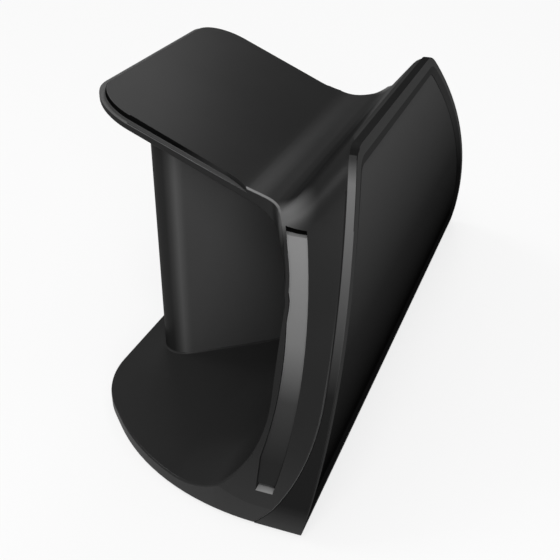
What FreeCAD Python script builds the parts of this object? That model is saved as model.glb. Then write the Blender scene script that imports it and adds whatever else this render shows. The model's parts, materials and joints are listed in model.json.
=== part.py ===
import FreeCAD, Part
import math
import os

V = FreeCAD.Vector

# A desk stand that holds a game controller on a sloping shelf.
# Millimetres. X runs across the width, +Y to the rear, +Z up.
# Depths are counted from the toe of the front plate, heights from the underside of the base.

# Base plate
BASE_WIDTH = 121.2
BASE_DEPTH = 48.6
BASE_THICK = 2.5
BASE_SIDE_DEPTH = 26.6
BASE_SIDE_ROUND = 46.0
BASE_REAR_WIDTH = 76.6
BASE_REAR_ROUND = 20.0

# Front wall, seen from the front: wide at the toe, narrow at the lip, sides bowed out
LIP_HEIGHT = 53.3
LIP_WIDTH = 55.5
LIP_CORNER = 7.0
LIP_LEAN = 2.6
LIP_LAND = 0.8
TOE_RISE = 4.0
SIDE_BOW = 3.7
PANEL_BOW = 3.6

# Inside of the C: wall, foot round and head round
WALL_DEPTH_FOOT = 6.8
WALL_DEPTH_HEAD = 8.4
WALL_ROUND_FOOT = 17.0
WALL_ROUND_HEAD = 4.0

# Cradle between the lip and the shelf
CRADLE_HEIGHT = 42.6
CRADLE_FRONT = 13.2
CRADLE_FLOOR = 7.1
CRADLE_ROUND = 5.0
CREASE_ROUND = 14.0

# Shelf
SHELF_WIDTH = 55.4
SHELF_REACH = 53.6
SHELF_TILT = 23.4
SHELF_THICK = 2.2
SHELF_CORNER = 9.0
FLARE_REAR = 16.8
FLARE_FRONT = 8.7
FLARE_WIDTH = 16.2
FLARE_ROUND = 8.0

# Shoulders, where the ends of the cradle turn down into the sides of the wall
SHOULDER_ROUND = 9.0
SHOULDER_LIFT = 0.05

# Stepped edge of the shelf
RIM_LEDGE = 1.2
RIM_STEP = 0.9
RIM_FADE = 4.5

# Core that joins the base and the shelf
CORE_WIDTH = 58.0
CORE_REAR = 43.7
CORE_NOSE_WIDTH = 3.0
CORE_NOSE_SINK = 1.0
CORE_ROUND = 4.5

# Front plate
PLATE_THICK = 1.5
PLATE_WEDGE = 8.2
PLATE_WEDGE_RISE = 22.0
PLATE_WEDGE_BOW = 2.5
PANEL_RIM = 1.7
PANEL_RECESS = 0.7
PANEL_SLANT = 1.8
PANEL_SLANT_SHARE = 0.75
PEG_RADIUS = 2.0
PEG_LENGTH = 3.5
PEG_SPREAD = 44.0
PEG_LOW = 16.0
PEG_HIGH = 34.0

# Side strips in the rear edge of the front wall
STRIP_LOW = 6.4
STRIP_HIGH = 42.6
STRIP_FOOT_SET = 5.2
STRIP_HEAD_SET = 7.4
STRIP_WIDTH = 4.6
STRIP_BOW = 2.9
STRIP_REAR_BOW = 4.1
STRIP_MARGIN = 0.6
STRIP_DEPTH = 1.2
STRIP_SINK = 0.25
STRIP_END_GAP = 1.0

# Rubber pads under the base
PAD_RADIUS = 4.5
PAD_THICK = 1.4
PAD_SINK = 0.9
PAD_FRONT_INSET = 12.6
PAD_REAR_INSET = 10.3
PAD_EDGE = 8.0

# Derived lengths
HALF_BASE = BASE_WIDTH / 2.0
SLOPE = math.tan(math.radians(SHELF_TILT))
BEYOND = BASE_WIDTH
CRADLE_REAR = CRADLE_FRONT + CRADLE_FLOOR
SHOULDER_TOP = LIP_HEIGHT + LIP_LAND
SPLIT_HEIGHT = (STRIP_LOW + CRADLE_HEIGHT) / 2.0
NEAR = 1e-6


def unit(a, b):
    return (b - a).normalize()


def corner_arc(before, at, after, radius):
    """Tangent arc that rounds the corner at one point of an outline."""
    to_before = unit(at, before)
    to_after = unit(at, after)
    half = to_before.getAngle(to_after) / 2.0
    reach = radius / math.tan(half)
    middle = (to_before + to_after).normalize()
    tip = at + middle * (radius / math.sin(half) - radius)
    return Part.Arc(at + to_before * reach, tip, at + to_after * reach).toShape()


def outline(corners):
    """Closed wire through (point, radius) pairs, with each corner rounded to its radius."""
    count = len(corners)
    arcs = []
    for i, (point, radius) in enumerate(corners):
        before = corners[i - 1][0]
        after = corners[(i + 1) % count][0]
        arcs.append(corner_arc(before, point, after, radius) if radius > 0 else None)
    edges = []
    for i in range(count):
        j = (i + 1) % count
        start = arcs[i].Vertexes[-1].Point if arcs[i] else corners[i][0]
        end = arcs[j].Vertexes[0].Point if arcs[j] else corners[j][0]
        edges.append(Part.makeLine(start, end))
        if arcs[j]:
            edges.append(arcs[j])
    return Part.Wire(Part.__sortEdges__(edges))


def side_point(depth, height):
    return V(0, depth, height)


def across(wire, half):
    """Side profile swept over the width, to the same distance on both sides."""
    face = Part.Face(wire)
    face.translate(V(-half, 0, 0))
    return face.extrude(V(2.0 * half, 0, 0))


def upright(wire, low, high):
    face = Part.Face(wire)
    face.translate(V(0, 0, low))
    return face.extrude(V(0, 0, high - low))


def fore_and_aft(wire, front, rear):
    face = Part.Face(wire)
    face.translate(V(0, front, 0))
    return face.extrude(V(0, rear - front, 0))


def band(low, high):
    """Everything between two heights."""
    return Part.makeBox(2 * BEYOND, 2 * BEYOND, high - low, V(-BEYOND, -BEYOND, low))


def depth_band(front, rear):
    """Everything between two depths."""
    return Part.makeBox(2 * BEYOND, rear - front, 2 * BEYOND, V(-BEYOND, front, -BEYOND))


def shelf_top(depth):
    return CRADLE_HEIGHT + (depth - CRADLE_REAR) * SLOPE


def shelf_under(depth):
    return shelf_top(depth) - SHELF_THICK / math.cos(math.radians(SHELF_TILT))


def bowed(start, end, bow, away):
    """Arc between two points that swells by bow towards the side given by away."""
    middle = (start + end) * 0.5
    return Part.Arc(start, middle + away * bow, end).toShape()


# Front outline of the wall

def side_arc(low, high, inset=0.0):
    """Bowed side of the wall in front view, between two heights."""
    foot = V(HALF_BASE, 0, TOE_RISE)
    head = V(LIP_WIDTH / 2.0, 0, LIP_HEIGHT)
    run = unit(foot, head)
    inwards = V(-inset / run.z, 0, 0)
    circle = bowed(foot + inwards, head + inwards, SIDE_BOW, V(run.z, 0, -run.x)).Curve

    def at(z):
        return V(circle.Center.x + math.sqrt(circle.Radius ** 2 - (z - circle.Center.z) ** 2), 0, z)

    return Part.Arc(at(low), at((low + high) / 2.0), at(high)).toShape()


def front_block(height, inset=0.0, rise=TOE_RISE):
    """Upright ends as high as rise and bowed sides up to one height, carried through the depth."""
    arc = side_arc(rise, height, inset)
    foot = arc.Vertexes[0].Point
    head = arc.Vertexes[-1].Point
    toe = V(foot.x, 0, 0)
    side = [Part.makeLine(toe, foot), arc] if rise > 0 else [arc]
    other = [e.mirror(V(0, 0, 0), V(1, 0, 0)) for e in side]
    ends = [
        Part.makeLine(V(-toe.x, 0, 0), toe),
        Part.makeLine(head, V(-head.x, 0, head.z)),
    ]
    wire = Part.Wire(Part.__sortEdges__(side + other + ends))
    return fore_and_aft(wire, -BEYOND, BEYOND)


def is_top_corner(edge):
    points = [v.Point for v in edge.Vertexes]
    runs_back = len(points) == 2 and abs(points[0].y - points[1].y) > BEYOND
    return runs_back and all(abs(p.z - LIP_HEIGHT) < NEAR for p in points)


def lip_block(inset=0.0, rise=TOE_RISE):
    block = front_block(LIP_HEIGHT, inset, rise)
    return block.makeFillet(LIP_CORNER, [e for e in block.Edges if is_top_corner(e)])


def end_wire(block, depth):
    """Outline of a block that runs fore and aft, placed at one depth."""
    end = min(block.Faces, key=lambda f: f.CenterOfMass.y)
    wire = end.OuterWire
    wire.translate(V(0, depth + BEYOND, 0))
    return wire


def is_shoulder(edge):
    """True for an edge where the lip slope or the cradle meets a side of the wall."""
    box = edge.BoundBox
    one_sided = box.XMin * box.XMax > 0
    below_top = box.ZMin < SHOULDER_TOP - NEAR
    return one_sided and below_top and box.ZMin > SPLIT_HEIGHT and box.YLength > NEAR


def wall_block(inset=0.0):
    """Room for the wall: the sides flow over a wide round into the lip slope and the cradle."""
    ridge = ridge_point()
    valley = side_point(CRADLE_FRONT, CRADLE_HEIGHT)
    lift = V(0, 0, SHOULDER_LIFT)
    climb = (SHOULDER_TOP - CRADLE_HEIGHT) / (LIP_HEIGHT - CRADLE_HEIGHT)
    peak = valley + (ridge - valley) * climb
    under = outline([
        (side_point(-BEYOND, -BEYOND), 0),
        (side_point(crease_start(), -BEYOND), 0),
        (side_point(crease_start(), CRADLE_HEIGHT) + lift, 0),
        (valley + lift, CRADLE_ROUND),
        (peak + lift, 0),
        (side_point(-BEYOND, SHOULDER_TOP) + lift, 0),
    ])
    room = front_block(SHOULDER_TOP, inset).common(across(under, BEYOND))
    room = room.makeFillet(SHOULDER_ROUND, [e for e in room.Edges if is_shoulder(e)])
    return room.common(lip_block(inset))


# Side profiles

def front_arc(set_back):
    """The bowed front in side view, moved back by set_back."""
    foot = side_point(set_back, 0)
    head = side_point(LIP_LEAN + set_back, LIP_HEIGHT)
    return bowed(foot, head, PANEL_BOW, V(0, -1, 0))


def arc_at_height(arc, height):
    """Point of a front arc at one height, on the side that faces the front."""
    circle = arc.Curve
    rise = height - circle.Center.z
    reach = math.sqrt(circle.Radius ** 2 - rise ** 2)
    return side_point(circle.Center.y - reach, height)


def seam_edges():
    """Line in side view where the front plate lies against the body, from toe to lip."""
    arc = front_arc(PLATE_THICK)
    toe = side_point(PLATE_WEDGE, 0)
    knee = arc_at_height(arc, PLATE_WEDGE_RISE)
    head = side_point(LIP_LEAN + PLATE_THICK, LIP_HEIGHT)
    middle = arc_at_height(arc, (PLATE_WEDGE_RISE + LIP_HEIGHT) / 2.0)
    run = unit(toe, knee)
    away = V(0, -run.z, run.y)
    return [
        bowed(toe, knee, PLATE_WEDGE_BOW, away),
        Part.Arc(knee, middle, head).toShape(),
    ]


def ridge_point():
    return side_point(LIP_LEAN + PLATE_THICK + LIP_LAND, LIP_HEIGHT)


def valley_arc():
    """Round at the bottom of the cradle, between the lip slope and the cradle floor."""
    valley = side_point(CRADLE_FRONT, CRADLE_HEIGHT)
    crease = side_point(CRADLE_REAR, CRADLE_HEIGHT)
    return corner_arc(ridge_point(), valley, crease, CRADLE_ROUND)


def crease_start():
    """Depth at which the cradle floor starts to turn up into the shelf."""
    return CRADLE_REAR - CREASE_ROUND * math.tan(math.radians(SHELF_TILT) / 2.0)


def body_side_wire():
    """Outside of the C in side view: seam, lip, cradle, shelf top, rear end and floor."""
    rear = SHELF_REACH + SHELF_CORNER
    head = LIP_LEAN + PLATE_THICK
    valley = valley_arc()
    crease = side_point(CRADLE_REAR, CRADLE_HEIGHT)
    shelf_end = side_point(rear, shelf_top(rear))
    crease_arc = corner_arc(side_point(CRADLE_FRONT, CRADLE_HEIGHT), crease, shelf_end, CREASE_ROUND)
    floor_end = side_point(rear, 0)
    edges = seam_edges() + [
        Part.makeLine(side_point(head, LIP_HEIGHT), ridge_point()),
        Part.makeLine(ridge_point(), valley.Vertexes[0].Point),
        valley,
        Part.makeLine(valley.Vertexes[-1].Point, crease_arc.Vertexes[0].Point),
        crease_arc,
        Part.makeLine(crease_arc.Vertexes[-1].Point, shelf_end),
        Part.makeLine(shelf_end, floor_end),
        Part.makeLine(floor_end, side_point(PLATE_WEDGE, 0)),
    ]
    return Part.Wire(edges)


def opening_wire(forward=0.0):
    """The hollow of the C in side view, moved towards the front by forward."""
    rear = BEYOND
    foot = side_point(WALL_DEPTH_FOOT, BASE_THICK)
    head = side_point(WALL_DEPTH_HEAD, shelf_under(WALL_DEPTH_HEAD))
    wire = outline([
        (foot, WALL_ROUND_FOOT),
        (side_point(rear, BASE_THICK), 0),
        (side_point(rear, shelf_under(rear)), 0),
        (head, WALL_ROUND_HEAD),
    ])
    wire.translate(V(0, -forward, 0))
    return wire


# Plan outlines

def base_wire():
    """Base in plan: straight sides that turn in two rounds to a straight rear edge."""
    half_rear = BASE_REAR_WIDTH / 2.0
    return outline([
        (V(-HALF_BASE, -BEYOND, 0), 0),
        (V(HALF_BASE, -BEYOND, 0), 0),
        (V(HALF_BASE, BASE_SIDE_DEPTH, 0), BASE_SIDE_ROUND),
        (V(half_rear, BASE_DEPTH, 0), BASE_REAR_ROUND),
        (V(-half_rear, BASE_DEPTH, 0), BASE_REAR_ROUND),
        (V(-HALF_BASE, BASE_SIDE_DEPTH, 0), BASE_SIDE_ROUND),
    ])


def shelf_wire(inset=0.0, early=0.0):
    """Shelf in plan with rounded rear corners, flaring at the front into the wall."""
    half = SHELF_WIDTH / 2.0 - inset
    rear = SHELF_REACH - inset
    corner = SHELF_CORNER - inset
    front = FLARE_FRONT + early
    turn = FLARE_REAR + early
    wide = half + FLARE_WIDTH
    return outline([
        (V(-BEYOND, -BEYOND, 0), 0),
        (V(BEYOND, -BEYOND, 0), 0),
        (V(BEYOND, front, 0), 0),
        (V(wide, front, 0), FLARE_ROUND),
        (V(half, turn, 0), FLARE_ROUND),
        (V(half, rear, 0), corner),
        (V(-half, rear, 0), corner),
        (V(-half, turn, 0), FLARE_ROUND),
        (V(-wide, front, 0), FLARE_ROUND),
        (V(-BEYOND, front, 0), 0),
    ])


def core_wire():
    """Triangular core in plan, with its point in the front wall."""
    nose = WALL_DEPTH_FOOT - CORE_NOSE_SINK
    return outline([
        (V(-CORE_NOSE_WIDTH / 2.0, nose, 0), 0),
        (V(CORE_NOSE_WIDTH / 2.0, nose, 0), 0),
        (V(CORE_WIDTH / 2.0, CORE_REAR, 0), CORE_ROUND),
        (V(-CORE_WIDTH / 2.0, CORE_REAR, 0), CORE_ROUND),
    ])


# Body

def c_section():
    """The C: outer side profile less its hollow, cut to the outlines seen from front and above."""
    solid = across(body_side_wire(), HALF_BASE)
    solid = solid.cut(across(opening_wire(), BEYOND))
    low = solid.common(band(-BEYOND, SPLIT_HEIGHT)).common(upright(base_wire(), -BEYOND, BEYOND))
    high = solid.common(band(SPLIT_HEIGHT, BEYOND)).common(upright(shelf_wire(), -BEYOND, BEYOND))
    behind = depth_band(crease_start(), BEYOND)
    whole = low.fuse(high).removeSplitter()
    return whole.common(wall_block()).fuse(whole.common(behind)).removeSplitter()


def core():
    """Core from the base to the shelf, ended inside both."""
    tall = upright(core_wire(), BASE_THICK / 2.0, BEYOND)
    rear = BEYOND
    under = outline([
        (side_point(-rear, -rear), 0),
        (side_point(rear, -rear), 0),
        (side_point(rear, shelf_under(rear) + SHELF_THICK / 2.0), 0),
        (side_point(-rear, shelf_under(-rear) + SHELF_THICK / 2.0), 0),
    ])
    return tall.common(across(under, BEYOND)).common(across(body_side_wire(), HALF_BASE))


def rim_ledge():
    """Band round the shelf edge that lies lower than the shelf top, running out at the flare."""
    rear = SHELF_REACH + SHELF_CORNER
    above = outline([
        (side_point(CRADLE_FRONT, shelf_top(CRADLE_FRONT) - RIM_STEP), 0),
        (side_point(rear, shelf_top(rear) - RIM_STEP), 0),
        (side_point(rear, BEYOND), 0),
        (side_point(CRADLE_FRONT, BEYOND), 0),
    ])
    raised = upright(shelf_wire(RIM_LEDGE, RIM_FADE), -BEYOND, BEYOND)
    return across(above, SHELF_WIDTH).cut(raised)


def strip_side_wire():
    """Strip in side view: two bowed edges, closest together at mid height."""
    foot = side_point(STRIP_FOOT_SET, STRIP_LOW)
    head = side_point(STRIP_HEAD_SET, STRIP_HIGH)
    wide = V(0, STRIP_WIDTH, 0)
    edges = [
        bowed(foot, head, STRIP_BOW, V(0, -1, 0)),
        Part.makeLine(head, head + wide),
        bowed(head + wide, foot + wide, STRIP_REAR_BOW, V(0, -1, 0)),
        Part.makeLine(foot + wide, foot),
    ]
    return Part.Wire(edges)


def strip_band(end_gap, outer, inner):
    """Part of the C along the rear edge of the wall, between two depths from its side."""
    strip = across(strip_side_wire(), HALF_BASE).common(band(STRIP_LOW + end_gap, STRIP_HIGH - end_gap))
    strip = strip.cut(across(opening_wire(STRIP_MARGIN), BEYOND))
    strip = strip.common(upright(shelf_wire(0.0, -STRIP_MARGIN), -BEYOND, BEYOND))
    return strip.common(wall_block(outer)).cut(wall_block(inner))


def peg_places():
    return [(side * PEG_SPREAD / 2.0, height) for height in (PEG_LOW, PEG_HIGH) for side in (-1, 1)]


def peg_solids():
    """Pegs on the back of the front plate, with the holes for them in the body."""
    arc = front_arc(PLATE_THICK)
    root = (PLATE_THICK - PANEL_RECESS) / 2.0
    solids = []
    for x, height in peg_places():
        start = V(x, arc_at_height(arc, height).y - root, height)
        solids.append(Part.makeCylinder(PEG_RADIUS, PEG_LENGTH + root, start, V(0, 1, 0)))
    return solids


def pad_places():
    front = HALF_BASE - PAD_FRONT_INSET
    rear = BASE_REAR_WIDTH / 2.0 - PAD_REAR_INSET
    return {
        "foot_pad_front_left": V(-front, PLATE_WEDGE + PAD_EDGE, 0),
        "foot_pad_front_right": V(front, PLATE_WEDGE + PAD_EDGE, 0),
        "foot_pad_rear_left": V(-rear, BASE_DEPTH - PAD_EDGE, 0),
        "foot_pad_rear_right": V(rear, BASE_DEPTH - PAD_EDGE, 0),
    }


def foot_pad(place):
    return Part.makeCylinder(PAD_RADIUS, PAD_THICK, place + V(0, 0, PAD_SINK - PAD_THICK))


def stand_body():
    body = c_section().fuse(core()).removeSplitter()
    body = body.cut(rim_ledge())
    body = body.cut(strip_band(0.0, 0.0, STRIP_DEPTH))
    for peg in peg_solids():
        body = body.cut(peg)
    for place in pad_places().values():
        body = body.cut(foot_pad(place))
    return body


# Front plate

def plate_side_wire():
    toe = side_point(0, 0)
    head = side_point(LIP_LEAN, LIP_HEIGHT)
    seam = seam_edges()
    edges = [
        front_arc(0.0),
        Part.makeLine(head, side_point(LIP_LEAN + PLATE_THICK, LIP_HEIGHT)),
        seam[1],
        seam[0],
        Part.makeLine(side_point(PLATE_WEDGE, 0), toe),
    ]
    return Part.Wire(Part.__sortEdges__(edges))


def panel_field():
    """Sunk field of the front plate inside its rim."""
    deep = front_arc(PANEL_RECESS)
    foot = deep.Vertexes[0].Point
    head = deep.Vertexes[-1].Point
    edges = [
        deep,
        Part.makeLine(head, head - V(0, BEYOND, 0)),
        Part.makeLine(head - V(0, BEYOND, 0), foot - V(0, BEYOND, 0)),
        Part.makeLine(foot - V(0, BEYOND, 0), foot),
    ]
    inside = end_wire(lip_block(rise=0.0), 0).makeOffset2D(-PANEL_RIM - PANEL_SLANT)
    return across(Part.Wire(edges), BEYOND).common(fore_and_aft(inside, -BEYOND, BEYOND))


def slanted_rim(plate):
    """Sunk plate with the wall round its field slanted back towards the rim."""
    rim = max((f for f in plate.Faces if len(f.Wires) == 2), key=lambda f: f.Area)
    inner = min(rim.Wires, key=lambda w: w.BoundBox.DiagonalLength)
    return plate.makeChamfer(PANEL_SLANT, PANEL_RECESS * PANEL_SLANT_SHARE, inner.Edges)


def front_plate():
    plate = across(plate_side_wire(), HALF_BASE).common(lip_block())
    plate = slanted_rim(plate.cut(panel_field()))
    for peg in peg_solids():
        plate = plate.fuse(peg)
    return plate


def side_strips():
    strips = strip_band(STRIP_END_GAP, STRIP_SINK, STRIP_DEPTH)
    left = min(strips.Solids, key=lambda s: s.CenterOfMass.x)
    right = max(strips.Solids, key=lambda s: s.CenterOfMass.x)
    return {"side_strip_left": left, "side_strip_right": right}


def pieces():
    made = {"stand_body": stand_body(), "front_plate": front_plate()}
    made.update(side_strips())
    for name, place in pad_places().items():
        made[name] = foot_pad(place)
    return made


def main():
    made = pieces()
    box = Part.makeCompound(list(made.values())).optimalBoundingBox()
    shift = V(-box.Center.x, -box.Center.y, -box.ZMin)
    os.makedirs("parts", exist_ok=True)
    for name, shape in made.items():
        shape.translate(shift)
        shape.exportStep("parts/" + name + ".step")
        print(name, shape.isValid(), len(shape.Solids), round(shape.Volume, 1))
    print("box", round(box.XLength, 2), round(box.YLength, 2), round(box.ZLength, 2))


main()
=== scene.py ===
# %% [markdown]
# A desk stand for a game controller is a handful of plastic mouldings: one C-shaped body, a bowed
# front plate, two slim side strips and four rubber pads. They could be modelled again here, but the
# solids in the frame already have the right shapes and places, in metres, so every piece below starts
# from one of them. The box of the bare solids is kept, because the finished model may not outgrow it.

# %% Load the stand
import json
import math

import bmesh
import bpy
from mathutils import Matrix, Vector
from mathutils.bvhtree import BVHTree

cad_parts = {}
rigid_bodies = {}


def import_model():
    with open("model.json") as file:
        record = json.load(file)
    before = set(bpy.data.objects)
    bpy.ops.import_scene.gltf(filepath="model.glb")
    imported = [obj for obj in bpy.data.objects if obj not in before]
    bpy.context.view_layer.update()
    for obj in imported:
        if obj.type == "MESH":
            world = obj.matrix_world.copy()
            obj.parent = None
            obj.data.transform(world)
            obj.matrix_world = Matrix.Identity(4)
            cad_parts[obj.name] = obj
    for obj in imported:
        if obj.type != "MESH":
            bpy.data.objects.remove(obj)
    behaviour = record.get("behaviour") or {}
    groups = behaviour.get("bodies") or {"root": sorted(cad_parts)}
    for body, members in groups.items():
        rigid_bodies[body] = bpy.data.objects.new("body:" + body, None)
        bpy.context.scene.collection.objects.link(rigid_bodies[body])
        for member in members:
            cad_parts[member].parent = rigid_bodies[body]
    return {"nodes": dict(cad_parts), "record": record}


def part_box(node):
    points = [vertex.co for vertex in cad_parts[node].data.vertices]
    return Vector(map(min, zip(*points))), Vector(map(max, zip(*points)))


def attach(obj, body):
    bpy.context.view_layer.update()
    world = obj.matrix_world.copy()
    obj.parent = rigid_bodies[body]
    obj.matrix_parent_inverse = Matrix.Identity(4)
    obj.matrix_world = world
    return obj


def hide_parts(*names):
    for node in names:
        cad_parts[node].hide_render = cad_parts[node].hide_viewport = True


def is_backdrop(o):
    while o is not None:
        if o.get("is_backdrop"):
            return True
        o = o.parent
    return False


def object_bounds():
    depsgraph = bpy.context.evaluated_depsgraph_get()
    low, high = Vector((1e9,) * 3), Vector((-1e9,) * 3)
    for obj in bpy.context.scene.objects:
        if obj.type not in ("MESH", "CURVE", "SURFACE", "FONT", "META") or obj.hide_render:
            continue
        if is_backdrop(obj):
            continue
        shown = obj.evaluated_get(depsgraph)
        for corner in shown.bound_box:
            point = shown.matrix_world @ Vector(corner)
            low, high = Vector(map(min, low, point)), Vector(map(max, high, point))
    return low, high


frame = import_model()
cad_low, cad_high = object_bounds()
nodes = frame["nodes"]
record = frame["record"]
MM = 0.001
print("pieces:", sorted(nodes))
print("stand size in mm:", [round(length / MM, 1) for length in cad_high - cad_low])

# %% [markdown]
# A moulded edge is never knife sharp. A Bevel modifier with an angle limit would round all sharp edges
# alike, and a rounding trick in the shader would vanish from the exported mesh. Here a copy of each
# solid is merged, its flat faces are joined, and only chosen edges are rounded. An edge beside a very
# narrow face stays sharp, because two rounds would run into each other there.

# %% Copy a solid and choose its edges
MERGE = 0.002 * MM
FLAT = math.radians(0.05)
SHARP = math.radians(28)
NO_TURN = 0.0


def merged_copy(node):
    """Closed mesh of one solid, with its flat faces joined."""
    shape = bmesh.new()
    shape.from_mesh(nodes[node].data)
    bmesh.ops.remove_doubles(shape, verts=shape.verts, dist=MERGE)
    bmesh.ops.dissolve_limit(shape, angle_limit=FLAT, verts=shape.verts, edges=shape.edges)
    return shape


def has_room(edge, radius):
    """True where the faces on both sides are wider than two rounds."""
    return all(face.calc_area() > 2 * radius * edge.calc_length() for face in edge.link_faces)


print("sharp edges turn by more than", round(math.degrees(SHARP)), "degrees")

# %% [markdown]
# The bevel operator cuts each chosen edge into a small round of three faces, so the radius is real and
# catches the light from any side. Smooth shading makes it look like an arc, but would also bend the
# light on the wide faces beside it. Custom normals could hold that back. Marking the border of each
# round as sharp does the same with less work.

# %% Round the sharp edges
SMOOTH = math.radians(32)
ROUND_FACES = 3


def round_edges(shape, radius, crease=SMOOTH, left_out=()):
    """Rounds the sharp edges, keeps the other creases crisp and gives back the new round faces."""
    turning = [edge for edge in shape.edges if edge.calc_face_angle(NO_TURN) > SHARP]
    chosen = [edge for edge in turning if has_room(edge, radius) and edge not in left_out]
    made = bmesh.ops.bevel(shape, geom=chosen, offset=radius, offset_type="OFFSET", affect="EDGES",
                           segments=ROUND_FACES, profile=0.5, material=-1, clamp_overlap=False)
    rounds = set(made["faces"])
    for edge in shape.edges:
        sides = [face in rounds for face in edge.link_faces]
        edge.smooth = all(sides) or (not any(sides) and edge.calc_face_angle(NO_TURN) < crease)
    for face in shape.faces:
        face.smooth = True
    print("rounded", len(chosen), "of", len(turning), "sharp edges")
    return rounds


print("faces across a round:", ROUND_FACES)

# %% [markdown]
# Each finished shape becomes an object that stands for one solid of the frame. The solid could also
# stay and get a new material, but then its edges would be sharp. The object sits at the origin with
# its place in its mesh, so a pattern on Object coordinates fits all pieces alike.

# %% Turn a shape into a piece
def count_areas(shape, names):
    """Prints how many faces have each finish."""
    for number, name in enumerate(names):
        print(name, "faces:", sum(face.material_index == number for face in shape.faces))


def finished_piece(name, shape, node):
    """Object made from a shape, in place of one solid."""
    mesh = bpy.data.meshes.new(name)
    shape.to_mesh(mesh)
    shape.free()
    piece = bpy.data.objects.new(name, mesh)
    bpy.context.scene.collection.objects.link(piece)
    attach(piece, "root")
    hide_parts(node)
    print(name, "faces in all:", len(mesh.polygons))
    return piece


# %% [markdown]
# Some areas of a moulding have a finish of their own. They could be picked by a list of face numbers,
# but those change with every new mesh. Walking from face to face and stopping at the first crease
# finds a whole area from any one face in it.

# %% Find an area between creases
CREASE = math.radians(10)


def area_from(start):
    """All faces that can be reached from one face without crossing a crease."""
    area = {start}
    waiting = [start]
    while waiting:
        for edge in waiting.pop().edges:
            if edge.calc_face_angle(NO_TURN) < CREASE:
                fresh = [face for face in edge.link_faces if face not in area]
                area.update(fresh)
                waiting.extend(fresh)
    return area


def area_round(inner):
    """The areas that lie directly round another one."""
    beside = {other for face in inner for edge in face.edges for other in edge.link_faces} - inner
    return set().union(*(area_from(face) for face in beside)) - inner


def nearest_face(faces, place):
    """The face whose middle is nearest to a place."""
    return min(faces, key=lambda face: (face.calc_center_median() - place).length)


print("a crease turns by more than", round(math.degrees(CREASE)), "degrees")

# %% [markdown]
# The body has a shelf, a cradle, hollows beside its core and a slot for each strip. Their places could
# be typed in again as numbers, but the frame's record already names them as openings and mounts, and
# the other solids say where they touch the body. A search tree of a solid's surface gives the distance
# from any point to it.

# %% Read the places on the body
STRIP_NODES = ("side_strip_left", "side_strip_right")
openings = {opening["name"]: opening["box_m"] for opening in record["physics"]["openings"]}
hollow_low, hollow_high = (Vector(corner) for corner in openings["left_side_hollow"])
cradle_low, cradle_high = (Vector(corner) for corner in openings["cradle"])
shelf = next(mount for mount in record["mounts"] if mount["name"] == "shelf")
shelf_place, shelf_up = Vector(shelf["pos_m"]), Vector(shelf["axis"])
strip_low, strip_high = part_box(STRIP_NODES[0])


def surface_tree(node):
    """Search tree of one solid's surface."""
    shape = merged_copy(node)
    tree = BVHTree.FromBMesh(shape)
    shape.free()
    return tree


def gap_to(tree, place):
    """Distance from a place to the nearest point of a surface."""
    return tree.find_nearest(place)[3]


plate_surface = surface_tree("front_plate")
strip_surfaces = [surface_tree(node) for node in STRIP_NODES]
print("cradle depth in mm:", round((cradle_high.y - cradle_low.y) / MM, 1))

# %% [markdown]
# A face of the body is known by its place and by the way it looks. Faces could be picked by hand in the
# editor, but one short test for each area still holds when the mesh is made anew. The first three find
# the seam with the front plate, which gets a painted highlight as a fine pale line, the foot of each
# strip's slot, which gets a painted highlight, and the core, which gets painted fill light and a
# painted highlight streak.

# %% Tell the seam, the slot foot and the core
BODY_EDGE = 0.3 * MM
SEAM_REACH = 2 * BODY_EDGE
ASLANT = 0.3
SLOT_FOOT_DROP = 3.0 * MM
LEVEL = 0.9
STEEP = 0.5


def is_seam(face, middle):
    """True for a face that looks forward and sideways, right beside the front plate."""
    turned = face.normal.y < -ASLANT and abs(face.normal.x) > ASLANT
    return turned and gap_to(plate_surface, middle) < SEAM_REACH


def is_slot_foot(face, middle):
    """True for a level face just under the foot of a strip."""
    beside = strip_low.x <= -abs(middle.x) <= strip_high.x and strip_low.y <= middle.y <= strip_high.y
    return beside and face.normal.z > LEVEL and 0 < strip_low.z - middle.z < SLOT_FOOT_DROP


def is_core(face, middle):
    """True for an upright face between the base and the shelf, behind the front wall."""
    inside = hollow_low.y < middle.y < hollow_high.y and hollow_low.z < middle.z < hollow_high.z
    return inside and abs(face.normal.z) < STEEP


print("seam reach in mm:", round(SEAM_REACH / MM, 1))

# %% [markdown]
# The shelf has a stepped rim whose wall is painted nearly black as painted shade and whose ledge is
# painted paler as a painted highlight. The upper rounded edges are painted paler as painted highlights,
# and the toe of the base is a little glossier. These areas could be picked by a mask painted on the
# mesh. The depth below the plane of the shelf, the bend of an edge and the height above the floor tell
# them apart just as well and need no such mask.

# %% Tell the rim, the highlit edges and the toe
RIM_DROP = 0.83 * MM
TOE_RISE = 4.6 * MM
UPRIGHT = 1 - LEVEL


def is_on_rim(middle):
    """True just below the plane of the shelf, behind the cradle."""
    return middle.y >= cradle_high.y and MERGE < (shelf_place - middle).dot(shelf_up) < RIM_DROP


def is_highlit_edge(face, middle):
    """True for an outward round that looks up, behind the lip."""
    outward = sum(edge.calc_face_angle_signed(NO_TURN) for edge in face.edges) > 0
    return outward and face.normal.z > 0 and middle.y > cradle_low.y


def is_toe(face, middle):
    """True for an upright face right above the floor, round the base."""
    return middle.z < TOE_RISE and abs(face.normal.z) < UPRIGHT


print("rim depth in mm:", round(RIM_DROP / MM, 2), "toe height in mm:", round(TOE_RISE / MM, 1))

# %% [markdown]
# Each face of the body now gets the number of its area, and later each area gets its finish. A vertex
# group could hold an area too, but the material number of a face is what Blender itself reads when one
# mesh has several materials.

# %% Sort the faces of the body
BODY_AREAS = ("plain", "edge", "core", "groove", "ledge", "slot", "slot foot", "seam", "toe")
PLAIN, EDGE, CORE, GROOVE, LEDGE, SLOT, SLOT_FOOT, SEAM, TOE = range(len(BODY_AREAS))


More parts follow.
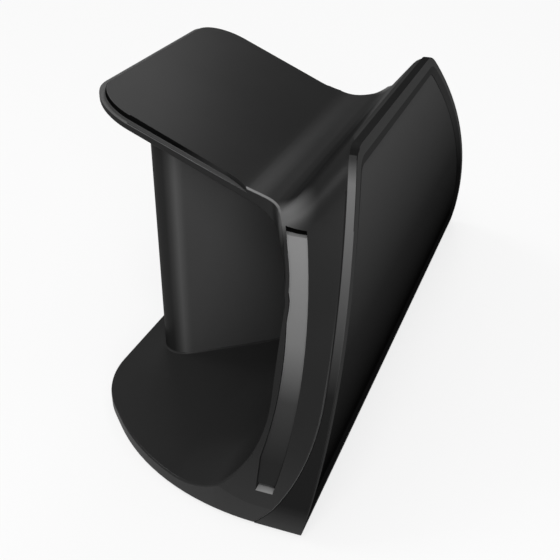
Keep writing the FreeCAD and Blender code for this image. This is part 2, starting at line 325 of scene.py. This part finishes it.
def body_area(face, rounds):
    """Number of the area that a face belongs to."""
    middle = face.calc_center_bounds()
    if face in rounds and is_seam(face, middle):
        return SEAM
    if is_slot_foot(face, middle):
        return SLOT_FOOT
    if is_core(face, middle):
        return CORE
    if is_on_rim(middle):
        return LEDGE if face.normal.dot(shelf_up) > LEVEL else GROOVE
    if face in rounds:
        return EDGE if is_highlit_edge(face, middle) else PLAIN
    return TOE if is_toe(face, middle) else PLAIN


print("areas of the body:", BODY_AREAS)

# %% [markdown]
# The body carries the base, the core, the C-shaped wall, the cradle and the shelf in one moulding. Its
# edges could all be rounded alike, but the thin walls of the strip slots have no room for that, so
# edges near a strip are left out. The inner walls of each slot are found by walking from the face
# nearest to the strip's middle.

# %% Make the body
STRIP_CLEAR = 1.5 * MM


def is_by_strip(edge):
    """True where the middle of an edge is close to a strip."""
    middle = (edge.verts[0].co + edge.verts[1].co) / 2
    return min(gap_to(tree, middle) for tree in strip_surfaces) < STRIP_CLEAR


shape = merged_copy("stand_body")
rounds = round_edges(shape, BODY_EDGE, left_out={edge for edge in shape.edges if is_by_strip(edge)})
for face in shape.faces:
    face.material_index = body_area(face, rounds)
sideways = [face for face in shape.faces if abs(face.normal.x) > STEEP]
for node in STRIP_NODES:
    low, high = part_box(node)
    for face in area_from(nearest_face(sideways, (low + high) / 2)):
        face.material_index = SLOT
count_areas(shape, BODY_AREAS)
body = finished_piece("body_moulding", shape, "stand_body")

# %% [markdown]
# The front plate is a thin bowed cover with a bare sunk field. The field could be cut out as a piece of
# its own, but on the real plate it is one moulding with the rim. So it is found by walking out from
# the middle of the plate. The two areas round it are the low wall and the slant that climbs to the rim.
# The plate's narrow sides and its top edge get finishes of their own.

# %% Make the front plate
PLATE_EDGE = 0.15 * MM
PLATE_AREAS = ("rim", "field", "slant", "side", "top")
RIM, FIELD, SLANT, SIDE, TOP = range(len(PLATE_AREAS))

shape = merged_copy("front_plate")
round_edges(shape, PLATE_EDGE, CREASE)
for face in shape.faces:
    if abs(face.normal.x) > STEEP:
        face.material_index = SIDE
    elif face.normal.z > STEEP:
        face.material_index = TOP
low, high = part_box("front_plate")
middle = (low + high) / 2
middle.y = low.y
facing = [face for face in shape.faces if face.normal.y < -STEEP]
field = area_from(nearest_face(facing, middle))
wall = area_round(field)
for face in field:
    face.material_index = FIELD
for face in wall | area_round(field | wall):
    face.material_index = SLANT
count_areas(shape, PLATE_AREAS)
plate = finished_piece("front_cover", shape, "front_plate")

# %% [markdown]
# The two side strips are slim inlays in the rear edge of the front wall. They could be swept again
# along their curve, but the solids already have it, so only the edges are rounded. The rounds get a
# paler colour, a painted highlight that draws the fine bright outline of each strip.

# %% Make the side strips
STRIP_EDGE = 0.15 * MM
STRIP_AREAS = ("face", "outline")
STRIP_FACE, STRIP_OUTLINE = range(len(STRIP_AREAS))
strips = []
for side in ("left", "right"):
    shape = merged_copy("side_strip_" + side)
    for face in round_edges(shape, STRIP_EDGE):
        face.material_index = STRIP_OUTLINE
    count_areas(shape, STRIP_AREAS)
    strips.append(finished_piece("strip_" + side, shape, "side_strip_" + side))

# %% [markdown]
# The rubber pads sit in shallow pockets under the base. They could stay as they are, since they are
# hardly seen, but a soft edge costs little and makes them look like rubber from below.

# %% Make the pads
PAD_EDGE = 0.25 * MM
pads = []
for end in ("front", "rear"):
    for side in ("left", "right"):
        name = end + "_" + side
        shape = merged_copy("foot_pad_" + name)
        round_edges(shape, PAD_EDGE)
        pads.append(finished_piece("pad_" + name, shape, "foot_pad_" + name))

# %% [markdown]
# A plastic is made of a few shader nodes: noise, a ramp that turns it into greys, and a range that
# turns it into roughness. They could be laid by hand for each finish. A helper for each kind of node
# keeps the finishes short and alike. All of them read Object coordinates, so a pattern stays with the
# stand from any side.

# %% Lay the nodes of a finish
HALFWAY = 0.5


def add(tree, kind, **sockets):
    """New node with plain values set on its sockets."""
    node = tree.nodes.new(kind)
    for name, value in sockets.items():
        node.inputs[name.replace("_", " ")].default_value = value
    return node


def new_finish(name):
    """New material with its tree, its shader and the place on the stand."""
    finish = bpy.data.materials.new(name)
    finish.use_nodes = True
    tree = finish.node_tree
    shader = tree.nodes["Principled BSDF"]
    coordinates = tree.nodes.new("ShaderNodeTexCoord")
    return finish, tree, shader, coordinates.outputs["Object"]


def noise(tree, place, scale, detail):
    """Soft noise that runs from zero to one."""
    texture = add(tree, "ShaderNodeTexNoise", Scale=scale, Detail=detail)
    tree.links.new(place, texture.inputs["Vector"])
    return texture.outputs["Fac"]


def ramp(tree, factor, stops):
    """Grey that follows a factor, through pairs of position and grey."""
    node = tree.nodes.new("ShaderNodeValToRGB")
    elements = node.color_ramp.elements
    while len(elements) < len(stops):
        elements.new(HALFWAY)
    for element, (position, grey) in zip(elements, stops):
        element.position = position
        element.color = (grey, grey, grey, 1.0)
    tree.links.new(factor, node.inputs["Fac"])
    return node.outputs["Color"]


print("a finish starts from a Principled shader and Object coordinates")

# %% [markdown]
# The skin of a satin moulding is dull in soft patches, has a fine grain from the mould and a weak
# gloss. The gloss could come from the shader's own specular level, but that always rises to a mirror
# at a flat angle. A thin clear coat gives the whole gloss here, so a low weight stays quiet there too.

# %% Make a satin skin
DULL_LOW = 0.5
DULL_HIGH = 0.7
GRAIN_SCALE = 2600.0
GRAIN_DETAIL = 2.0


def satin_skin(tree, shader, place, cloud, gloss, haze, grain, grain_depth):
    """Patchy roughness, a thin clear coat of one gloss and haze, and a fine grain."""
    dull = add(tree, "ShaderNodeMapRange", To_Min=DULL_LOW, To_Max=DULL_HIGH)
    tree.links.new(cloud, dull.inputs["Value"])
    tree.links.new(dull.outputs["Result"], shader.inputs["Roughness"])
    shader.inputs["Specular IOR Level"].default_value = 0.0
    shader.inputs["Coat Weight"].default_value = gloss
    shader.inputs["Coat Roughness"].default_value = haze
    bump = add(tree, "ShaderNodeBump", Strength=grain, Distance=grain_depth)
    tree.links.new(noise(tree, place, GRAIN_SCALE, GRAIN_DETAIL), bump.inputs["Height"])
    tree.links.new(bump.outputs["Normal"], shader.inputs["Normal"])


print("roughness runs from", DULL_LOW, "to", DULL_HIGH)

# %% [markdown]
# Most of the stand is one dark plastic with tiny changes of tone. A picture of plastic could be laid
# over it, but noise needs no file and stays sharp at any size. The same noise moves the tone and the
# roughness, so the paler patches are also the duller ones.

# %% Mix the clouded plastic
CLOUD_SCALE = 35.0
CLOUD_DETAIL = 4.0
CLOUD_LOW = 0.3
CLOUD_HIGH = 0.7
CLOUDED_GRAIN = 0.06
CLOUDED_DEPTH = 0.05 * MM


def clouded_plastic(name, dark, pale, gloss, haze):
    """Plastic whose tone follows soft noise."""
    finish, tree, shader, place = new_finish(name)
    cloud = noise(tree, place, CLOUD_SCALE, CLOUD_DETAIL)
    tone = ramp(tree, cloud, [(CLOUD_LOW, dark), (CLOUD_HIGH, pale)])
    tree.links.new(tone, shader.inputs["Base Color"])
    satin_skin(tree, shader, place, cloud, gloss, haze, CLOUDED_GRAIN, CLOUDED_DEPTH)
    return finish


print("cloud size in mm:", round(1 / (CLOUD_SCALE * MM), 1))

# %% [markdown]
# Some areas of the stand are painted from dark to pale along its height or its depth, as painted
# highlights, painted reflections and painted shade. Vertex colours could hold that, but they would
# follow the uneven triangles of the mesh. Here the place between the two ends of the stand's box runs
# through a ramp of greys, which is smooth on any mesh.

# %% Mix the fading plastic
FADED_GRAIN = 0.04
FADED_DEPTH = 0.04 * MM


def split_place(tree):
    """Node with the three coordinates of a place on the stand."""
    axes = tree.nodes.new("ShaderNodeSeparateXYZ")
    tree.links.new(tree.nodes["Texture Coordinate"].outputs["Object"], axes.inputs["Vector"])
    return axes


def faded_plastic(name, stops, gloss, haze, axis="Z"):
    """Plastic whose tone follows its place along one side of the stand's box."""
    finish, tree, shader, place = new_finish(name)
    way = "XYZ".index(axis)
    along = add(tree, "ShaderNodeMapRange", From_Min=cad_low[way], From_Max=cad_high[way])
    tree.links.new(split_place(tree).outputs[axis], along.inputs["Value"])
    tree.links.new(ramp(tree, along.outputs["Result"], stops), shader.inputs["Base Color"])
    cloud = noise(tree, place, CLOUD_SCALE, CLOUD_DETAIL)
    satin_skin(tree, shader, place, cloud, gloss, haze, FADED_GRAIN, FADED_DEPTH)
    return finish


print("fades run over in mm:", [round(length / MM, 1) for length in cad_high - cad_low])

# %% [markdown]
# The plastic is painted a little lighter near the floor, as painted bounce light from the white floor.
# Such light could be painted on an image. Here the height is turned into a small amount of grey, which
# is added to the colour, so it fades out softly all round the base.

# %% Paint bounce light on the foot
BOUNCE_RISE = 14.0 * MM
FOOT_BOUNCE_LIGHT = 0.008


def lighten(tree, amount):
    """Adds a grey amount to the colour of a finish."""
    shade = tree.nodes["Principled BSDF"].inputs["Base Color"]
    lighter = tree.nodes.new("ShaderNodeVectorMath")
    lighter.operation = "ADD"
    tree.links.new(shade.links[0].from_socket, lighter.inputs[0])
    tree.links.new(amount, lighter.inputs[1])
    tree.links.new(lighter.outputs["Vector"], shade)


def paint_floor_bounce(finish):
    """Lightens the plastic a little towards the floor, as painted bounce light."""
    tree = finish.node_tree
    bounce = add(tree, "ShaderNodeMapRange", From_Max=BOUNCE_RISE, To_Min=FOOT_BOUNCE_LIGHT, To_Max=0.0)
    tree.links.new(split_place(tree).outputs["Z"], bounce.inputs["Value"])
    lighten(tree, bounce.outputs["Result"])
    return finish


print("painted bounce light reaches up in mm:", round(BOUNCE_RISE / MM, 1))

# %% [markdown]
# Both ends of the cradle get a pale round spot, a painted highlight where the shoulder turns towards
# the light. Two spots could be mixed, one for each side. Taking the plain size of X folds both sides
# onto one, so a single distance to one point makes both spots alike.

# %% Paint highlights on the shoulders
SHOULDER = Vector((34.5, -13.3, 44.0)) * MM
SHOULDER_REACH = 6.5 * MM
SHOULDER_HIGHLIGHT = 0.12


def math_node(tree, operation, first, second=None):
    """One step of arithmetic on linked values."""
    node = tree.nodes.new("ShaderNodeMath")
    node.operation = operation
    tree.links.new(first, node.inputs[0])
    if second is not None:
        tree.links.new(second, node.inputs[1])
    return node.outputs["Value"]


def paint_shoulder_highlights(finish):
    """Paints a highlight on both ends of the cradle as a soft round spot."""
    tree = finish.node_tree
    axes = split_place(tree)
    folded = tree.nodes.new("ShaderNodeCombineXYZ")
    tree.links.new(math_node(tree, "ABSOLUTE", axes.outputs["X"]), folded.inputs["X"])
    tree.links.new(axes.outputs["Y"], folded.inputs["Y"])
    tree.links.new(axes.outputs["Z"], folded.inputs["Z"])
    distance = tree.nodes.new("ShaderNodeVectorMath")
    distance.operation = "DISTANCE"
    tree.links.new(folded.outputs["Vector"], distance.inputs[0])
    distance.inputs[1].default_value = SHOULDER
    highlight_spot = add(tree, "ShaderNodeMapRange", From_Max=SHOULDER_REACH, To_Min=SHOULDER_HIGHLIGHT, To_Max=0.0)
    highlight_spot.interpolation_type = "SMOOTHSTEP"
    tree.links.new(distance.outputs["Value"], highlight_spot.inputs["Value"])
    lighten(tree, highlight_spot.outputs["Result"])
    return finish


print("painted shoulder highlights reach in mm:", round(SHOULDER_REACH / MM, 1))

# %% [markdown]
# The body's plastic is nearly black with a satin gloss. One material could serve all of it, but edges,
# slots and rim then lose the fine lines that make the moulding readable. Each area gets a finish that
# differs a little in tone, gloss or haze, and many of these tones are painted light: painted highlights
# on the upper edges, the rim ledge, the seam and the slot foot, painted shade in the rim's step and the
# slots, and painted fill light with a painted highlight streak on the core. A fade lists pairs of place
# and grey, from the floor up, or for the core from front to rear.

# %% Finish the body
BODY_DARK = 0.0125
BODY_PALE = 0.0158
EDGE_HIGHLIGHT_FADE = [(0.1, 0.018), (0.6, 0.03), (0.74, 0.17), (0.82, 0.17), (0.87, 0.08)]
CORE_LIGHT_FADE = [(0.3, 0.066), (0.5, 0.048), (0.69, 0.042), (0.715, 0.062), (0.735, 0.03), (0.755, 0.0135)]
GROOVE_SHADE_FADE = [(0.81, 0.02), (0.86, 0.003)]
SLOT_SHADE_FADE = [(0.6, 0.05), (0.7, 0.003)]
SEAM_HIGHLIGHT_FADE = [(0.1, 0.08), (0.5, 0.012)]


def dress(piece, finishes):
    """Gives a piece its finishes, in the order of its areas."""
    for number in sorted(finishes):
        piece.data.materials.append(finishes[number])
    print(piece.name, "finishes:", [finish.name for finish in piece.data.materials])


body_satin = clouded_plastic("body_satin", BODY_DARK, BODY_PALE, gloss=0.16, haze=0.3)
toe_gloss = clouded_plastic("toe_gloss", BODY_DARK, BODY_PALE, gloss=0.3, haze=0.3)
dress(body, {
    # Painted bounce light towards the floor and painted highlights on both shoulders.
    PLAIN: paint_floor_bounce(paint_shoulder_highlights(body_satin)),
    # Painted highlights on the upper rounded edges.
    EDGE: faded_plastic("edge_painted_highlight", EDGE_HIGHLIGHT_FADE, gloss=0.2, haze=0.25),
    # Painted fill light on the shaded front of the core and a painted highlight streak near its rear
    # corner.
    CORE: faded_plastic("core_painted_light", CORE_LIGHT_FADE, gloss=0.12, haze=0.3, axis="Y"),
    # Painted shade on the wall of the rim's step.
    GROOVE: faded_plastic("groove_painted_shade", GROOVE_SHADE_FADE, gloss=0.0, haze=0.5),
    # Painted highlight on the rim's ledge.
    LEDGE: clouded_plastic("ledge_painted_highlight", dark=0.05, pale=0.065, gloss=0.16, haze=0.3),
    # Painted shade in the strip slots, black at the head and lighter lower down.
    SLOT: faded_plastic("slot_painted_shade", SLOT_SHADE_FADE, gloss=0.0, haze=0.5),
    # Painted highlight on the level foot of each slot.
    SLOT_FOOT: clouded_plastic("slot_foot_painted_highlight", dark=0.22, pale=0.27, gloss=0.1, haze=0.3),
    # Painted highlight along the seam, palest near the floor.
    SEAM: faded_plastic("seam_painted_highlight", SEAM_HIGHLIGHT_FADE, gloss=0.1, haze=0.3),
    # Painted bounce light towards the floor on the toe.
    TOE: paint_floor_bounce(toe_gloss),
})

# %% [markdown]
# The plate is a darker plastic. Its field and rim are painted paler towards the lip and darkest near
# the floor as a painted reflection, its slant is painted dark low down as painted shade and paler at
# the top as painted light, and its narrow sides carry a painted reflection that is palest there. A new
# kind of material could be made for it, but the two kinds from above are enough.

# %% Finish the front plate
RIM_REFLECTION_FADE = [(0.1, 0.003), (0.4, 0.015), (0.85, 0.028)]
FIELD_REFLECTION_FADE = [(0.1, 0.002), (0.45, 0.016), (0.85, 0.052)]
SLANT_SHADE_AND_LIGHT_FADE = [(0.35, 0.005), (0.7, 0.027)]
SIDE_REFLECTION_FADE = [(0.02, 0.03), (0.1, 0.007), (0.4, 0.009), (0.65, 0.066), (0.87, 0.125), (0.92, 0.03)]
dress(plate, {
    # Painted reflection on the rim: paler towards the lip.
    RIM: faded_plastic("rim_painted_reflection", RIM_REFLECTION_FADE, gloss=0.1, haze=0.35),
    # Painted reflection on the field: near black low down, paler towards the lip.
    FIELD: faded_plastic("field_painted_reflection", FIELD_REFLECTION_FADE, gloss=0.0, haze=0.4),
    # Painted shade on the slant low down and painted light near its top.
    SLANT: faded_plastic("slant_painted_shade_and_light", SLANT_SHADE_AND_LIGHT_FADE, gloss=0.0, haze=0.4),
    # Painted reflection on the plate's narrow sides, palest near the lip, with painted bounce light at
    # the very foot.
    SIDE: faded_plastic("side_painted_reflection", SIDE_REFLECTION_FADE, gloss=0.1, haze=0.35),
    TOP: clouded_plastic("top_dark", dark=0.007, pale=0.009, gloss=0.05, haze=0.4),
})

# %% [markdown]
# The strips are inlays whose tone is a painted reflection, pale at the head and as dark as the wall at
# the foot, with a paler painted highlight on their rounded outline, and the pads are dull rubber. Each
# side could have a material of its own, but sharing one keeps both sides alike.

# %% Finish the strips and the pads
STRIP_REFLECTION_FADE = [(0.2, 0.012), (0.36, 0.03), (0.5, 0.12), (0.72, 0.175)]
OUTLINE_HIGHLIGHT_FADE = [(0.2, 0.012), (0.36, 0.04), (0.5, 0.2), (0.72, 0.3)]
# Painted reflection on the strip faces: pale at the head, dark at the foot.
strip_painted_reflection = faded_plastic("strip_painted_reflection", STRIP_REFLECTION_FADE, gloss=0.15, haze=0.3)
# Painted highlight on the strips' rounded outline.
outline_painted_highlight = faded_plastic("strip_rim_painted_highlight", OUTLINE_HIGHLIGHT_FADE, gloss=0.15, haze=0.3)
pad_black = clouded_plastic("pad_black", dark=0.008, pale=0.014, gloss=0.1, haze=0.6)
for strip in strips:
    dress(strip, {STRIP_FACE: strip_painted_reflection, STRIP_OUTLINE: outline_painted_highlight})
for pad in pads:
    dress(pad, {PLAIN: pad_black})

# %% [markdown]
# The stand is shown on a white sheet. A lit white sheet alone would turn grey away from the lamps, and
# brighter lamps would bleach the stand. So for rays from the camera, from reflections and through clear
# things a part of the white is fixed, and the rest is lit as usual, which keeps a faint shadow.

# %% Mix the white of the floor
FLOOR_WHITE = 0.9
FIXED_WHITE = 0.75


def seen_directly(tree):
    """One for rays that see the floor from the camera, in a reflection or through clear things."""
    path = tree.nodes.new("ShaderNodeLightPath").outputs
    mirrored = math_node(tree, "MAXIMUM", path["Is Camera Ray"], path["Is Glossy Ray"])
    return math_node(tree, "MAXIMUM", mirrored, path["Is Transmission Ray"])


def white_floor():
    """White material, partly fixed and partly lit."""
    finish = bpy.data.materials.new("floor_white")
    finish.use_nodes = True
    tree = finish.node_tree
    tree.nodes.remove(tree.nodes["Principled BSDF"])
    lit = add(tree, "ShaderNodeBsdfDiffuse", Color=(FLOOR_WHITE, FLOOR_WHITE, FLOOR_WHITE, 1.0))
    fixed = add(tree, "ShaderNodeEmission", Strength=1.0)
    share = add(tree, "ShaderNodeMapRange", To_Max=FIXED_WHITE)
    tree.links.new(seen_directly(tree), share.inputs["Value"])
    blend = tree.nodes.new("ShaderNodeMixShader")
    tree.links.new(share.outputs["Result"], blend.inputs["Fac"])
    tree.links.new(lit.outputs["BSDF"], blend.inputs[1])
    tree.links.new(fixed.outputs["Emission"], blend.inputs[2])
    tree.links.new(blend.outputs["Shader"], tree.nodes["Material Output"].inputs["Surface"])
    return finish


print("fixed share of the white:", FIXED_WHITE)

# %% [markdown]
# The floor is a flat square that reaches far past the view, so no edge of it shows near the stand. A
# curved backdrop could close the view behind it as well, but the photo shows plain white only. The
# square lies a hair below the pads, because two faces in one plane would flicker.

# %% Lay the floor
FLOOR_HALF = 4.0
FLOOR_DROP = 0.02 * MM
sheet = bmesh.new()
bmesh.ops.create_grid(sheet, x_segments=1, y_segments=1, size=FLOOR_HALF)
bmesh.ops.translate(sheet, verts=sheet.verts, vec=(0.0, 0.0, -FLOOR_DROP))
floor_mesh = bpy.data.meshes.new("floor")
sheet.to_mesh(floor_mesh)
sheet.free()
floor = bpy.data.objects.new("floor", floor_mesh)
floor.data.materials.append(white_floor())
bpy.context.scene.collection.objects.link(floor)
floor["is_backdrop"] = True
print("floor half width in m:", FLOOR_HALF)

# %% [markdown]
# A studio fills the shadows with light from all sides. Many weak lamps could do that. A plain white
# world does it with one value and leaves no marks in the gloss.

# %% Fill the room with light
SKY_LIGHT = 0.45
world = bpy.data.worlds.new("white_room")
bpy.context.scene.world = world
world.use_nodes = True
sky = world.node_tree.nodes["Background"]
sky.inputs["Color"].default_value = (1.0, 1.0, 1.0, 1.0)
sky.inputs["Strength"].default_value = SKY_LIGHT
print("sky strength:", SKY_LIGHT)

# %% [markdown]
# Four soft lamps shape the stand. The strongest stands low at the near left and lights the strip, the
# seam and the plate's side. One high above the near side draws the upper edges. Two weak ones, high
# behind and high at the far side, leave the soft streaks on the lip and in the crease of the cradle.
# One big lamp would be simpler, but dark satin plastic shows its form only by such streaks.

# %% Set the lamps
TARGET = (cad_low + cad_high) / 2


def soft_lamp(name, place, size, watts):
    """Round lamp that looks at the middle of the stand, with its place and size in metres."""
    data = bpy.data.lights.new(name, "AREA")
    data.shape = "DISK"
    data.size = size
    data.energy = watts
    lamp = bpy.data.objects.new(name, data)
    lamp.location = place
    lamp.rotation_mode = "QUATERNION"
    lamp.rotation_quaternion = (TARGET - Vector(place)).to_track_quat("-Z", "Y")
    bpy.context.scene.collection.objects.link(lamp)
    print(name, "at", place, "watts", watts)


soft_lamp("rear_lamp", (0.03, 0.61, 0.79), size=0.3, watts=1.2)
soft_lamp("far_lamp", (0.75, 0.15, 0.65), size=0.3, watts=1.2)
soft_lamp("near_lamp", (-0.8, -0.45, 0.25), size=0.5, watts=4.5)
soft_lamp("edge_lamp", (-0.52, -0.05, 0.8), size=0.4, watts=2.9)

# %% [markdown]
# The camera stands at the near left of the stand and looks down on it by about thirty degrees. It could
# be aimed by a constraint at an empty object. It doesn't lean sideways, so a heading and a pitch are
# enough, and the focal length in pixels of a square frame gives the lens for a 36 mm sensor.

# %% Place the camera
EYE = Vector((-158.72, -58.83, 108.43)) * MM
HEADING = math.radians(20.56)
PITCH = math.radians(30.304)
FRAME_PIXELS = 560.0
FOCAL_PIXELS = 900.0
SENSOR = 36.0

forward = Vector((math.cos(PITCH) * math.cos(HEADING), math.cos(PITCH) * math.sin(HEADING),
                  -math.sin(PITCH)))
lens = bpy.data.cameras.new("camera")
lens.sensor_width = SENSOR
lens.lens = SENSOR * FOCAL_PIXELS / FRAME_PIXELS
lens.clip_start = MM
camera = bpy.data.objects.new("camera", lens)
camera.location = EYE
camera.rotation_mode = "QUATERNION"
camera.rotation_quaternion = forward.to_track_quat("-Z", "Y")
bpy.context.scene.collection.objects.link(camera)
bpy.context.scene.camera = camera
bpy.context.scene.view_settings.view_transform = "Standard"
print("lens in mm:", round(lens.lens, 2))

# %% [markdown]
# Last, the box of the finished stand is set beside the box of the solids. Rounded edges can only take a
# little away, so any growth would show a mistake.

# %% Compare sizes
low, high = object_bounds()
print("growth in mm:", [round(length / MM, 2) for length in (high - low) - (cad_high - cad_low)])
